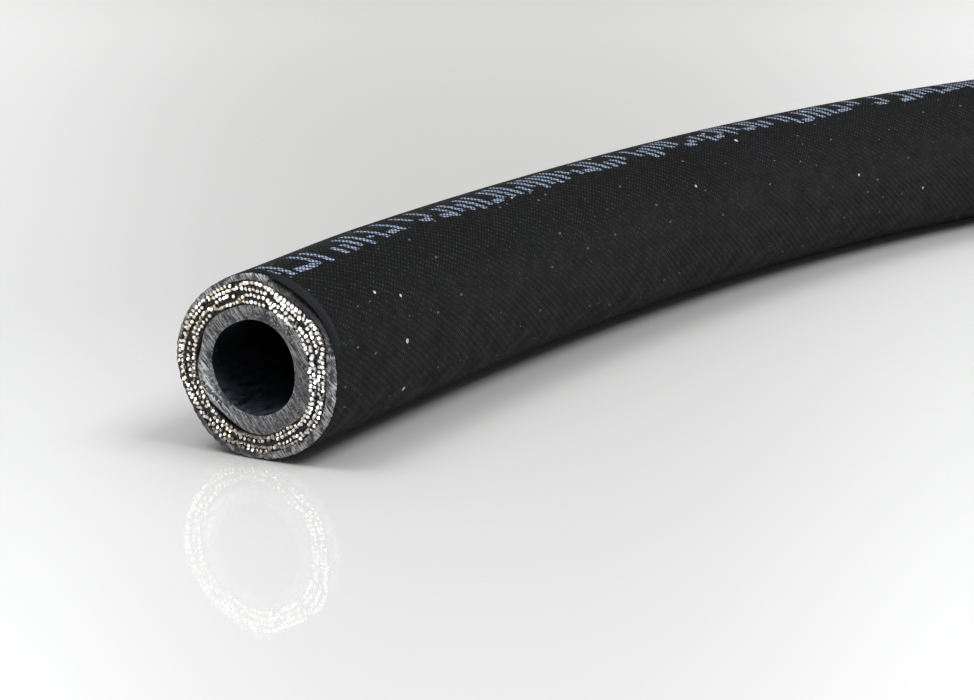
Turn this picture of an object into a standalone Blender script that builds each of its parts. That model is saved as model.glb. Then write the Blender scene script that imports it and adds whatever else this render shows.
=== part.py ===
"""Hydraulic hose assembly: a rubber hose with two wire braids and a crimped swivel fitting.

The hose lies on the ground plane. Its near end is cut square and left bare, so that all five layers
show. From there it leaves along +Y, turns a quarter circle to the right, and enters the fitting, which
points along +X. The origin is at the middle of the assembly's footprint, on the ground.
"""

import math

import bmesh
import bpy
from mathutils import Matrix, Vector

MM = 0.001

# Hose, nominal bore 10 mm, two wire braids. Radii in millimetres.
BORE_R = 4.8
LINER_R = 6.5
BRAID_THICKNESS = 0.6
INSULATION_THICKNESS = 0.3
COVER_R = 9.55
LAYER_GAP = 0.1
CRIMPED_COVER_R = 8.95

# The hose's centreline in millimetres, from the cut end to the end inside the ferrule. The curve is led
# in from a point outside the cut end, so that the cut is square to the Y axis.
ROUTE_LEAD_IN = (-138.7, -158.0, 9.55)
HOSE_ROUTE = [
    (-139.0, -138.0, 9.55),
    (-138.7, -118.0, 9.55),
    (-137.8, -98.0, 9.55),
    (-136.0, -78.1, 9.55),
    (-133.3, -58.3, 9.55),
    (-129.5, -38.7, 9.55),
    (-124.3, -19.3, 9.55),
    (-117.8, -0.4, 9.55),
    (-109.8, 17.9, 9.55),
    (-100.1, 35.4, 9.55),
    (-88.7, 51.8, 9.55),
    (-75.6, 66.9, 9.55),
    (-61.1, 80.6, 9.55),
    (-45.1, 92.6, 9.55),
    (-28.0, 102.9, 9.55),
    (-9.9, 111.4, 9.55),
    (9.0, 117.9, 9.65),
    (28.5, 122.4, 10.2),
    (48.4, 124.8, 11.3),
    (68.3, 125.7, 12.0),
    (88.3, 125.7, 12.0),
    (104.0, 125.7, 12.0),
    (120.0, 125.7, 12.0),
]
HOSE_SIDES = 20
STATION_SPACING = 25.0

# Fitting. Distances along its axis are in millimetres from the ferrule's mouth.
FITTING_MOUTH = (93.0, 125.7, 12.0)
FITTING_SIDES = 24
HOSE_END = 27.0
CRIMP_START = 4.5

FERRULE_LENGTH = 31.0
FERRULE_RIM_R = 12.0
FERRULE_CRIMP_R = 11.35
FERRULE_FLATS = 8
FERRULE_FLAT_TO_AXIS = 11.0
FERRULE_BORE_R = 9.3
FERRULE_MOUTH_R = 10.1
FERRULE_LIP_START = 29.0
FERRULE_LIP_R = 5.9
TOOTH_GROOVES = 3
TOOTH_PITCH = 7.0

INSERT_BORE_R = 3.5
TAIL_R = 4.45
BARB_DEPTH = 0.3
BARBS = 3
BARB_PITCH = 7.0
LOCK_NECK_R = 5.6
SHOULDER_R = 8.0
NECK_R = 6.0
HEAD_R = 7.2
HEAD_START = 36.2
HEAD_END = 43.0
CONE_BASE_R = 6.9
CONE_HALF_ANGLE = math.radians(12)
NOSE_END = 50.8

NUT_START = 35.0
NUT_END = 55.0
NUT_FLAT_TO_AXIS = 11.0
NUT_CORNER_R = 12.5
NUT_FLATS = 6
NUT_BORE_R = 7.5
NUT_RELIEF_R = 9.2
THREAD_MINOR_R = 8.25
THREAD_MAJOR_R = 9.0
THREAD_PITCH = 1.5
THREAD_TURNS = 5

WIRE_CENTRE = 39.5
WIRE_RING_R = 7.35
WIRE_R = 0.6
WIRE_GROOVE_R = 0.9
WIRE_OPENING = math.radians(25)
WIRE_HOLE_R = 1.1

O_RING_CENTRE = 46.9
O_RING_RING_R = 5.45
O_RING_R = 0.75
O_RING_GROOVE_R = 4.45
O_RING_GROOVE_HALF = 1.0


def clear_scene():
    for thing in list(bpy.data.objects):
        bpy.data.objects.remove(thing)


def plain_material(name, colour, roughness, metallic):
    material = bpy.data.materials.new(name)
    material.use_nodes = True
    shader = material.node_tree.nodes["Principled BSDF"]
    shader.inputs["Base Color"].default_value = (*colour, 1.0)
    shader.inputs["Roughness"].default_value = roughness
    shader.inputs["Metallic"].default_value = metallic
    return material


def liner_rubber():
    return plain_material("liner_rubber", (0.035, 0.037, 0.042), 0.55, 0.0)


def cover_rubber():
    return plain_material("cover_rubber", (0.018, 0.019, 0.021), 0.75, 0.0)


def braid_wire():
    return plain_material("braid_wire", (0.72, 0.68, 0.60), 0.30, 1.0)


def plated_steel():
    return plain_material("plated_steel", (0.62, 0.62, 0.60), 0.28, 1.0)


def spring_steel():
    return plain_material("spring_steel", (0.45, 0.45, 0.46), 0.35, 1.0)


def seal_rubber():
    return plain_material("seal_rubber", (0.012, 0.012, 0.013), 0.45, 0.0)


def finished_object(name, bm, material, parent=None):
    """Makes a bmesh into a named object, shaded smooth with sharp edges kept."""
    bmesh.ops.recalc_face_normals(bm, faces=bm.faces)
    mesh = bpy.data.meshes.new(name)
    bm.to_mesh(mesh)
    bm.free()
    mesh.materials.append(material)
    mesh.shade_smooth()
    mesh.set_sharp_from_angle(angle=math.radians(35))
    thing = bpy.data.objects.new(name, mesh)
    bpy.context.scene.collection.objects.link(thing)
    thing.parent = parent
    return thing


def curve_point(before, start, end, after, share):
    """A point on the Catmull-Rom curve from start to end."""
    return 0.5 * (
        2 * start
        + (end - before) * share
        + (2 * before - 5 * start + 4 * end - after) * share**2
        + (3 * start - before - 3 * end + after) * share**3
    )


def smooth_line(lead_in, points, steps=40):
    """Points close together along a smooth curve through the given ones."""
    knots = [Vector(point) for point in [lead_in, *points]]
    knots.append(2 * knots[-1] - knots[-2])
    line = []
    for before, start, end, after in zip(knots, knots[1:], knots[2:], knots[3:]):
        for step in range(steps):
            line.append(curve_point(before, start, end, after, step / steps))
    line.append(knots[-2])
    return line


def along(line):
    """The distance of each point of a line from its start."""
    distances = [0.0]
    for start, end in zip(line, line[1:]):
        distances.append(distances[-1] + (end - start).length)
    return distances


def point_at(line, distances, distance):
    """(point, direction) at that distance along a line."""
    index = 1
    while index < len(line) - 1 and distances[index] < distance:
        index += 1
    start, end = line[index - 1], line[index]
    share = (distance - distances[index - 1]) / (distances[index] - distances[index - 1])
    return start.lerp(end, share), (end - start).normalized()


def hose_stations():
    """(point, direction, distance inside the ferrule) from the cut end to the crimped end."""
    line = smooth_line(ROUTE_LEAD_IN, HOSE_ROUTE)
    distances = along(line)
    length = distances[-1]
    mouth = length - HOSE_END
    count = math.ceil(mouth / STATION_SPACING)
    wanted = [mouth * step / count for step in range(count)]
    wanted += [mouth + 0.5, mouth + CRIMP_START, length]
    return [(*point_at(line, distances, distance), distance - mouth) for distance in wanted]


def ring(bm, centre, direction, radius):
    """A ring of vertices square to a level-ish direction, with the first one to its side."""
    side = direction.cross(Vector((0, 0, 1))).normalized()
    up = side.cross(direction)
    made = []
    for step in range(HOSE_SIDES):
        angle = 2 * math.pi * step / HOSE_SIDES
        offset = radius * (math.cos(angle) * side + math.sin(angle) * up)
        made.append(bm.verts.new((centre + offset) * MM))
    return made


def join_rings(bm, first, second):
    for step in range(len(first)):
        after = (step + 1) % len(first)
        bm.faces.new((first[step], first[after], second[after], second[step]))


def hose_layer(name, inner_r, outer_r, material, crimped_r=None):
    """One tubular layer of the hose, closed by flat rings at both ends."""
    bm = bmesh.new()
    inner, outer = [], []
    for centre, direction, inside in hose_stations():
        crimped = crimped_r is not None and inside >= CRIMP_START
        inner.append(ring(bm, centre, direction, inner_r))
        outer.append(ring(bm, centre, direction, crimped_r if crimped else outer_r))
    for wall in (inner, outer):
        for first, second in zip(wall, wall[1:]):
            join_rings(bm, first, second)
    join_rings(bm, inner[0], outer[0])
    join_rings(bm, inner[-1], outer[-1])
    return finished_object(name, bm, material)


def make_hose():
    rubber = liner_rubber()
    wire = braid_wire()
    inner_braid_r = LINER_R + LAYER_GAP + BRAID_THICKNESS
    insulation_r = inner_braid_r + LAYER_GAP + INSULATION_THICKNESS
    outer_braid_r = insulation_r + LAYER_GAP + BRAID_THICKNESS
    hose_layer("hose_inner_tube", BORE_R, LINER_R, rubber)
    hose_layer("inner_wire_braid", LINER_R + LAYER_GAP, inner_braid_r, wire)
    hose_layer("insulation_layer", inner_braid_r + LAYER_GAP, insulation_r, rubber)
    hose_layer("outer_wire_braid", insulation_r + LAYER_GAP, outer_braid_r, wire)
    hose_layer(
        "hose_cover", outer_braid_r + LAYER_GAP, COVER_R, cover_rubber(), CRIMPED_COVER_R
    )


def turned(profile, sides=FITTING_SIDES):
    """A closed profile of (distance, radius) points, spun a full turn about the X axis."""
    bm = bmesh.new()
    corners = [bm.verts.new((x * MM, 0, r * MM)) for x, r in profile]
    edges = [bm.edges.new(pair) for pair in zip(corners, corners[1:] + corners[:1])]
    bmesh.ops.spin(
        bm,
        geom=corners + edges,
        cent=(0, 0, 0),
        axis=(1, 0, 0),
        angle=2 * math.pi,
        steps=sides,
        use_merge=True,
    )
    bmesh.ops.remove_doubles(bm, verts=bm.verts, dist=1e-7)
    return bm


def press_flats(bm, count, flat_to_axis, start, end):
    """Brings the outside between two distances in to flats, the first one on top."""
    half = math.pi / count
    for vertex in bm.verts:
        if not start * MM - 1e-6 <= vertex.co.x <= end * MM + 1e-6:
            continue
        radius = math.hypot(vertex.co.y, vertex.co.z)
        angle = math.atan2(vertex.co.z, vertex.co.y) - math.pi / 2
        from_flat = (angle + half) % (2 * half) - half
        limit = flat_to_axis * MM / math.cos(from_flat)
        if radius > limit:
            vertex.co.y *= limit / radius
            vertex.co.z *= limit / radius


def half_round_groove(centre, ring_r, groove_r, surface_r, outward):
    """Profile points of a half-round groove, in rising distance. outward is 1 or -1."""
    start = math.asin((surface_r - ring_r) * outward / groove_r)
    points = []
    for step in range(5):
        angle = math.pi - start - (math.pi - 2 * start) * step / 4
        x = centre + groove_r * math.cos(angle)
        points.append((x, ring_r + outward * groove_r * math.sin(angle)))
    return points


def ferrule_profile():
    inside = []
    for groove in range(TOOTH_GROOVES):
        end = FERRULE_LIP_START - 2.5 - groove * TOOTH_PITCH
        inside += [(end, FERRULE_BORE_R), (end - 0.5, FERRULE_BORE_R + 0.5)]
        inside += [(end - 2.5, FERRULE_BORE_R + 0.5), (end - 3.0, FERRULE_BORE_R)]
    return [
        (0.0, FERRULE_MOUTH_R),
        (0.0, FERRULE_RIM_R - 0.5),
        (0.6, FERRULE_RIM_R),
        (2.6, FERRULE_RIM_R),
        (CRIMP_START, FERRULE_CRIMP_R),
        (25.6, FERRULE_CRIMP_R),
        (27.4, FERRULE_RIM_R),
        (FERRULE_LENGTH - 0.7, FERRULE_RIM_R),
        (FERRULE_LENGTH, FERRULE_RIM_R - 0.6),
        (FERRULE_LENGTH, FERRULE_LIP_R),
        (FERRULE_LIP_START, FERRULE_LIP_R),
        (FERRULE_LIP_START, FERRULE_BORE_R),
        *inside,
        (CRIMP_START, FERRULE_BORE_R),
    ]


def make_ferrule(fitting):
    bm = turned(ferrule_profile())
    press_flats(bm, FERRULE_FLATS, FERRULE_FLAT_TO_AXIS, CRIMP_START, 25.6)
    finished_object("crimp_ferrule", bm, plated_steel(), fitting)


def insert_profile():
    tail = [(1.5, INSERT_BORE_R + 0.4), (2.3, TAIL_R)]
    for barb in range(BARBS):
        start = 6.0 + barb * BARB_PITCH
        tail += [(start, TAIL_R), (start + 0.3, TAIL_R - BARB_DEPTH)]
        tail += [(start + 2.5, TAIL_R - BARB_DEPTH), (start + 2.8, TAIL_R)]
    cone = math.tan(CONE_HALF_ANGLE)
    o_ring_start = O_RING_CENTRE - O_RING_GROOVE_HALF
    o_ring_end = O_RING_CENTRE + O_RING_GROOVE_HALF
    return [
        (1.5, INSERT_BORE_R),
        *tail,
        (HOSE_END + 0.4, TAIL_R),
        (HOSE_END + 0.4, 6.9),
        (FERRULE_LIP_START - 0.3, 6.9),
        (FERRULE_LIP_START - 0.3, LOCK_NECK_R),
        (FERRULE_LENGTH + 0.4, LOCK_NECK_R),
        (FERRULE_LENGTH + 0.4, SHOULDER_R),
        (33.2, SHOULDER_R),
        (33.6, SHOULDER_R - 0.4),
        (33.6, NECK_R),
        (HEAD_START, NECK_R),
        (HEAD_START, HEAD_R - 0.3),
        (HEAD_START + 0.3, HEAD_R),
        *half_round_groove(WIRE_CENTRE, WIRE_RING_R, WIRE_GROOVE_R, HEAD_R, -1),
        (HEAD_END, HEAD_R),
        (HEAD_END, CONE_BASE_R),
        (o_ring_start, CONE_BASE_R - (o_ring_start - HEAD_END) * cone),
        (o_ring_start, O_RING_GROOVE_R),
        (o_ring_end, O_RING_GROOVE_R),
        (o_ring_end, CONE_BASE_R - (o_ring_end - HEAD_END) * cone),
        (NOSE_END - 0.2, CONE_BASE_R - (NOSE_END - 0.2 - HEAD_END) * cone),
        (NOSE_END, CONE_BASE_R - (NOSE_END - HEAD_END) * cone - 0.2),
        (NOSE_END, INSERT_BORE_R + 0.2),
        (NOSE_END - 0.4, INSERT_BORE_R),
    ]


def make_insert(fitting):
    finished_object("hose_insert", turned(insert_profile()), plated_steel(), fitting)


def nut_profile():
    """The nut's section, from its wall at the back, round the outside, and back in through the thread."""
    thread = []
    for turn in range(THREAD_TURNS):
        crest = NUT_END - 1.0 - turn * THREAD_PITCH
        thread += [(crest, THREAD_MINOR_R), (crest - THREAD_PITCH / 2, THREAD_MAJOR_R)]
    thread_end = NUT_END - 1.0 - THREAD_TURNS * THREAD_PITCH
    groove = half_round_groove(WIRE_CENTRE, WIRE_RING_R, WIRE_GROOVE_R, NUT_BORE_R, 1)
    return [
        (NUT_START, NUT_BORE_R + 0.5),
        (NUT_START, NUT_FLAT_TO_AXIS - 0.6),
        (NUT_START + 1.2, NUT_CORNER_R),
        (NUT_END - 1.2, NUT_CORNER_R),
        (NUT_END, NUT_FLAT_TO_AXIS - 0.4),
        (NUT_END, THREAD_MAJOR_R + 0.4),
        *thread,
        (thread_end, THREAD_MINOR_R),
        (thread_end - 0.4, NUT_RELIEF_R),
        (44.2, NUT_RELIEF_R),
        (43.4, NUT_BORE_R),
        *reversed(groove),
        (NUT_START + 0.5, NUT_BORE_R),
    ]


def wire_hole_cutter(fitting):
    """The drilling through the nut's wall by which the thrust wire is fed in."""
    bm = bmesh.new()
    outward = Matrix.Translation((WIRE_CENTRE * MM, 0, NUT_FLAT_TO_AXIS * MM))
    bmesh.ops.create_cone(
        bm,
        cap_ends=True,
        segments=12,
        radius1=WIRE_HOLE_R * MM,
        radius2=WIRE_HOLE_R * MM,
        depth=6 * MM,
        matrix=outward,
    )
    cutter = finished_object("wire_hole_cutter", bm, plated_steel(), fitting)
    cutter.hide_render = True
    cutter.display_type = "WIRE"
    return cutter


def make_nut(fitting):
    bm = turned(nut_profile())
    press_flats(bm, NUT_FLATS, NUT_FLAT_TO_AXIS, NUT_START, NUT_END)
    nut = finished_object("swivel_nut", bm, plated_steel(), fitting)
    hole = nut.modifiers.new("wire_hole", "BOOLEAN")
    hole.operation = "DIFFERENCE"
    hole.object = wire_hole_cutter(fitting)


def make_thrust_wire(fitting):
    """An open ring of round wire, with the gap at the nut's drilling."""
    bm = bmesh.new()
    steps, sides = 22, 8
    rings = []
    for step in range(steps + 1):
        angle = WIRE_OPENING / 2 + (2 * math.pi - WIRE_OPENING) * step / steps
        made = []
        for side in range(sides):
            round_wire = 2 * math.pi * side / sides
            radius = WIRE_RING_R + WIRE_R * math.cos(round_wire)
            x = WIRE_CENTRE + WIRE_R * math.sin(round_wire)
            place = (x * MM, radius * math.sin(angle) * MM, radius * math.cos(angle) * MM)
            made.append(bm.verts.new(place))
        rings.append(made)
    for first, second in zip(rings, rings[1:]):
        join_rings(bm, first, second)
    bm.faces.new(rings[0])
    bm.faces.new(rings[-1])
    finished_object("thrust_wire", bm, spring_steel(), fitting)


def make_o_ring(fitting):
    points = []
    for step in range(8):
        angle = 2 * math.pi * step / 8
        x = O_RING_CENTRE + O_RING_R * math.cos(angle)
        points.append((x, O_RING_RING_R + O_RING_R * math.sin(angle)))
    finished_object("cone_o_ring", turned(points), seal_rubber(), fitting)


def make_fitting():
    """The fitting's pieces hang on one empty, on the axis that the nut swivels about."""
    fitting = bpy.data.objects.new("fitting_axis", None)
    fitting.location = Vector(FITTING_MOUTH) * MM
    bpy.context.scene.collection.objects.link(fitting)
    make_ferrule(fitting)
    make_insert(fitting)
    make_nut(fitting)
    make_thrust_wire(fitting)
    make_o_ring(fitting)


clear_scene()
make_hose()
make_fitting()
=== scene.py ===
"""Looks of the hydraulic hose assembly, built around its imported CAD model.

Lengths in the named values are in millimetres. A place on the hose is given by its distance from the cut
end along the centreline, its clock angle (0 on top, a quarter turn to the hose's right as it runs away
from the cut end) and its distance from the centreline.
"""

import math

import bmesh
import bpy
import numpy as np
from mathutils import Matrix


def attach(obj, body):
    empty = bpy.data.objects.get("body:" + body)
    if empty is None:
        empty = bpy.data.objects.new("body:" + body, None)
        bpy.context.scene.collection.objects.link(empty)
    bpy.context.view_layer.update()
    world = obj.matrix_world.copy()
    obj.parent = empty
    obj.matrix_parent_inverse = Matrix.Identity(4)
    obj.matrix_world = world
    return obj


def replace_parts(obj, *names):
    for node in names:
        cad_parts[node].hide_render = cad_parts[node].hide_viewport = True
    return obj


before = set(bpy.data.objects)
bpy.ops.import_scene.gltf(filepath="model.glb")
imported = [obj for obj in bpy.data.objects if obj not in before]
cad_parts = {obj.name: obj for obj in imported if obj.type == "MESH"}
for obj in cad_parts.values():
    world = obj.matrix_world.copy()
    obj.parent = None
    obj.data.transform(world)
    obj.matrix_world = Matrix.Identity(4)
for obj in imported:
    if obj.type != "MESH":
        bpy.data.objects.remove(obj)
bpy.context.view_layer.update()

MM = 0.001

# Hose radii.
BORE_R = 4.8
LINER_R = 6.5
INNER_BRAID_R = 6.90
INSULATION_IN_R = 7.3
INSULATION_R = 7.6
OUTER_BRAID_R = 8.0
BRAID_HALF = 0.3
COVER_IN_R = 8.4
COVER_R = 9.55
CRIMPED_COVER_R = 8.95

# The hose's centreline, as the CAD has it, from the cut end to the end inside the ferrule.
ROUTE_LEAD_IN = (-138.7, -158.0, 9.55)
HOSE_ROUTE = [
    (-139.0, -138.0, 9.55),
    (-138.7, -118.0, 9.55),
    (-137.8, -98.0, 9.55),
    (-136.0, -78.1, 9.55),
    (-133.3, -58.3, 9.55),
    (-129.5, -38.7, 9.55),
    (-124.3, -19.3, 9.55),
    (-117.8, -0.4, 9.55),
    (-109.8, 17.9, 9.55),
    (-100.1, 35.4, 9.55),
    (-88.7, 51.8, 9.55),
    (-75.6, 66.9, 9.55),
    (-61.1, 80.6, 9.55),
    (-45.1, 92.6, 9.55),
    (-28.0, 102.9, 9.55),
    (-9.9, 111.4, 9.55),
    (9.0, 117.9, 9.65),
    (28.5, 122.4, 10.2),
    (48.4, 124.8, 11.3),
    (68.3, 125.7, 12.0),
    (88.3, 125.7, 12.0),
    (104.0, 125.7, 12.0),
    (120.0, 125.7, 12.0),
]
HOSE_IN_FERRULE = 27.0
CRIMP_START = 4.5

# Where the layers meet on the cut face, every 30 degrees clockwise from the top. The saw and the wires'
# spring have pushed them out of round. Further in they come back to the hose's own radii.
CUT_BORE = [4.60, 4.54, 4.44, 4.44, 4.68, 4.84, 4.98, 5.12, 5.06, 5.09, 4.92, 4.62]
CUT_LINER = [6.13, 6.10, 6.27, 6.20, 6.78, 6.70, 7.10, 7.22, 7.00, 7.00, 6.70, 6.23]
CUT_BRAID_GAP = [7.50, 7.29, 7.38, 7.12, 7.60, 7.65, 7.95, 8.02, 8.25, 8.45, 7.95, 7.68]
CUT_WIRES = [8.66, 8.14, 8.80, 8.15, 8.60, 8.60, 8.80, 9.08, 8.85, 9.12, 8.85, 8.45]
CUT_COVER = [9.45, 9.42, 9.52, 9.38, 9.62, 9.50, 9.52, 9.78, 9.35, 9.50, 9.25, 9.06]
CUT_FADE = 24.0

# How light the cover's sawn end is made at the same angles: 0 leaves it black, higher values let more of the
# frosted grey show.
COVER_FROST = [1.40, 1.10, 1.30, 1.40, 1.30, 1.20, 1.00, 0.65, 0.20, 0.60, 1.55, 1.25]

# The torn stretch of the cover's rim, in degrees from the top, and how far it is torn back.
TEAR_START, TEAR_END = 9.0, 77.0
TEAR_DEPTH = 1.35

# Braids: bands of parallel wires, half of them wound each way, two over and two under.
BANDS = 12
INNER_BAND_WIRES = 7
OUTER_BAND_WIRES = 8
BRAID_ANGLE = math.radians(52)
WIRE_R = 0.145
WIRE_END_R = 0.20
WIRE_PITCH = 0.30
WIRE_LIFT = 0.16
STRAND_DEPTH = 11.0

# The cloth's threads, pressed into the cover: turns per millimetre along and round the hose.
COARSE_THREADS = (-0.87, 1.24)
FINE_THREADS = (1.68, 2.15)

# The print marks' spacing along the hose.
MARK_PITCH = 1.65

# Fitting: distances from the ferrule's mouth along its axis.
FITTING_MOUTH = (93.0, 125.7, 12.0)
CRIMP_END = 25.6
FERRULE_FLATS, FERRULE_FLAT_TO_AXIS = 8, 11.0
NUT_START, NUT_END = 35.0, 55.0
NUT_FLATS, NUT_FLAT_TO_AXIS = 6, 11.0
THREAD_START, THREAD_END = 46.1, 54.0
THREAD_PITCH, THREAD_MINOR_R, THREAD_MAJOR_R = 1.5, 8.25, 9.0
WIRE_HOLE_AT, WIRE_HOLE_R = 39.5, 1.1
THRUST_WIRE_MEAN_R, THRUST_WIRE_R = 7.35, 0.6
O_RING_AT, O_RING_MEAN_R, O_RING_THICK_R = 46.9, 5.45, 0.75

# Camera: its place from the floor under the cut face's centre, and its angles in degrees.
CAMERA_FROM_CUT = (138.06, -204.13, 77.22)
CAMERA_DOWN = 15.06
CAMERA_TURN = 28.8
SENSOR_WIDTH = 36.0
LENS = 96.1

# The stretch of floor that the camera sees, by distance ahead of it.
FLOOR_NEAR, FLOOR_FAR = 160, 600

# The studio's brightness by the sine of the height above the horizon: from and to which height, and from and
# to which brightness. The bands are joined by taking the brightest.
WORLD_BANDS = [(0.14, 0.24, 0.78, 0.03), (0.50, 0.80, 0.03, 1.13)]

random = np.random.default_rng(11)


# ---------------------------------------------------------------- the hose's centreline

def curve_point(before, start, end, after, share):
    """A point on the Catmull-Rom curve from start to end."""
    return 0.5 * (
        2 * start
        + (end - before) * share
        + (2 * before - 5 * start + 4 * end - after) * share**2
        + (3 * start - before - 3 * end + after) * share**3
    )


def smooth_line(lead_in, points, steps=40):
    """Points close together along a smooth curve through the given ones."""
    knots = np.array([lead_in, *points])
    knots = np.vstack([knots, 2 * knots[-1] - knots[-2]])
    line = []
    for before, start, end, after in zip(knots, knots[1:], knots[2:], knots[3:]):
        line += [curve_point(before, start, end, after, step / steps) for step in range(steps)]
    return np.array([*line, knots[-2]])


LINE = smooth_line(ROUTE_LEAD_IN, HOSE_ROUTE)
ALONG = np.concatenate([[0], np.cumsum(np.linalg.norm(np.diff(LINE, axis=0), axis=1))])
HEADING = np.gradient(LINE, ALONG, axis=0)
LENGTH = ALONG[-1]
MOUTH = LENGTH - HOSE_IN_FERRULE
CUT_CENTRE = LINE[0]


def unit(vectors):
    return vectors / np.linalg.norm(vectors, axis=-1, keepdims=True)


def read_line(values, distance):
    return np.stack([np.interp(distance, ALONG, values[:, k]) for k in range(3)], axis=-1)


def place(distance, angle, radius):
    """Points in metres at distances, clock angles and radii. Beyond the cut end the line goes on straight."""
    distance, angle, radius = np.broadcast_arrays(distance, angle, radius)
    heading = unit(read_line(HEADING, distance))
    centre = read_line(LINE, distance) + np.minimum(distance, 0)[..., None] * heading
    side = unit(np.cross(heading, (0, 0, 1)))
    up = np.cross(side, heading)
    out = np.sin(angle)[..., None] * side + np.cos(angle)[..., None] * up
    return (centre + radius[..., None] * out) * MM


def smooth_step(value, low, high):
    share = np.clip((value - low) / (high - low), 0, 1)
    return share * share * (3 - 2 * share)


def round_outline(values, angle):
    """A closed outline's value at an angle, on a smooth curve through values spaced evenly round it."""
    values = np.array(values)
    place_in = (np.asarray(angle) / (2 * math.pi) * len(values)) % len(values)
    start = np.floor(place_in).astype(int)
    around = [values[(start + k) % len(values)] for k in (-1, 0, 1, 2)]
    return curve_point(*around, place_in - start)


def squeezed(distance, angle, radius):
    """The radius that a point of a perfect hose has on this one, which is out of round at the cut end."""
    distance, angle, radius = np.broadcast_arrays(distance, angle, radius)
    perfect = [0, BORE_R, LINER_R, (INSULATION_IN_R + INSULATION_R) / 2, COVER_IN_R, COVER_R]
    tables = [CUT_BORE, CUT_LINER, CUT_BRAID_GAP, CUT_WIRES, CUT_COVER]
    moved = [0 * angle] + [round_outline(t, angle) - own for t, own in zip(tables, perfect[1:])]
    shift = np.zeros_like(radius)
    for inner, outer, inner_move, outer_move in zip(perfect, perfect[1:], moved, moved[1:]):
        share = (radius - inner) / (outer - inner)
        within = (share >= 0) & ((share < 1) | (outer == COVER_R))
        shift = np.where(within, inner_move + (outer_move - inner_move) * np.minimum(share, 1), shift)
    return radius + shift * (1 - smooth_step(distance, 0, CUT_FADE))


def ripple(seed, angle, waves, size):
    """A smooth random wobble round the hose, as a sum of a few waves."""
    own = np.random.default_rng(seed)
    total = np.zeros_like(angle)
    for wave in waves:
        total += own.normal() * np.sin(wave * angle + own.uniform(0, 2 * math.pi))
    return size * total / math.sqrt(len(waves))


# ---------------------------------------------------------------- meshes

def placed_piece(name, mesh, materials, body, node, sharp):
    """Makes a mesh, its faces pointing out, into a piece that rides on a body in place of a CAD node."""
    bm = bmesh.new()
    bm.from_mesh(mesh)
    bmesh.ops.recalc_face_normals(bm, faces=bm.faces)
    bm.to_mesh(mesh)
    bm.free()
    for material in materials:
        mesh.materials.append(material)
    mesh.shade_smooth()
    mesh.set_sharp_from_angle(angle=math.radians(sharp))
    piece = bpy.data.objects.new(name, mesh)
    bpy.context.scene.collection.objects.link(piece)
    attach(piece, body)
    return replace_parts(piece, node)


def grid_faces(rows, columns, closed):
    """Quads of a grid that is closed round its columns, and round its rows if closed says so."""
    row = np.arange(rows if closed else rows - 1)[:, None]
    column = np.arange(columns)[None, :]
    row_after, column_after = (row + 1) % rows, (column + 1) % columns
    corners = [
        row * columns + column,
        row * columns + column_after,
        row_after * columns + column_after,
        row_after * columns + column,
    ]
    return np.stack([np.broadcast_to(c, (len(row), columns)) for c in corners], axis=-1).reshape(-1, 4)


def ring_mesh(name, distance, angle, radius, face_rows=(), **point_values):
    """A closed shell from rings: row i of the arrays is one ring. Its map holds the distance along the hose
    and round it, in millimetres. Rows from face_rows[0] to face_rows[1] take the second material."""
    rows, columns = distance.shape
    points = place(distance, angle, radius).reshape(-1, 3)
    faces = grid_faces(rows, columns, closed=True)
    mesh = bpy.data.meshes.new(name)
    mesh.from_pydata(points.tolist(), [], faces.tolist())
    row = faces[:, 0] // columns
    column = faces[:, 0] % columns
    turn = 2 * math.pi / columns
    around = np.stack([column, column + 1, column + 1, column], axis=-1) * turn - math.pi
    along = distance.reshape(-1)[faces]
    uv = np.stack([along, around * COVER_R], axis=-1)
    layer = mesh.uv_layers.new(name="hose_map")
    layer.data.foreach_set("uv", uv.astype(np.float32).ravel())
    if len(face_rows):
        cut = (row >= face_rows[0]) & (row < face_rows[1])
        mesh.polygons.foreach_set("material_index", cut.astype(np.int32))
    for value_name, values in point_values.items():
        set_point_values(mesh, value_name, values)
    return mesh


def set_point_values(mesh, name, values):
    values = np.asarray(values, np.float32).ravel()
    mesh.attributes.new(name, "FLOAT", "POINT").data.foreach_set("value", values)


def wall_distances(start, fine_until, fine, coarse, end):
    """Distances along a wall, close together near the cut end."""
    near = np.arange(start, fine_until, fine)
    far = np.linspace(fine_until, end, max(2, math.ceil((end - fine_until) / coarse)))
    return np.concatenate([near, far])


def full_turn(columns):
    """Clock angles round the hose, starting at its underside."""
    return -math.pi + 2 * math.pi * np.arange(columns) / columns


# ---------------------------------------------------------------- materials

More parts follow.
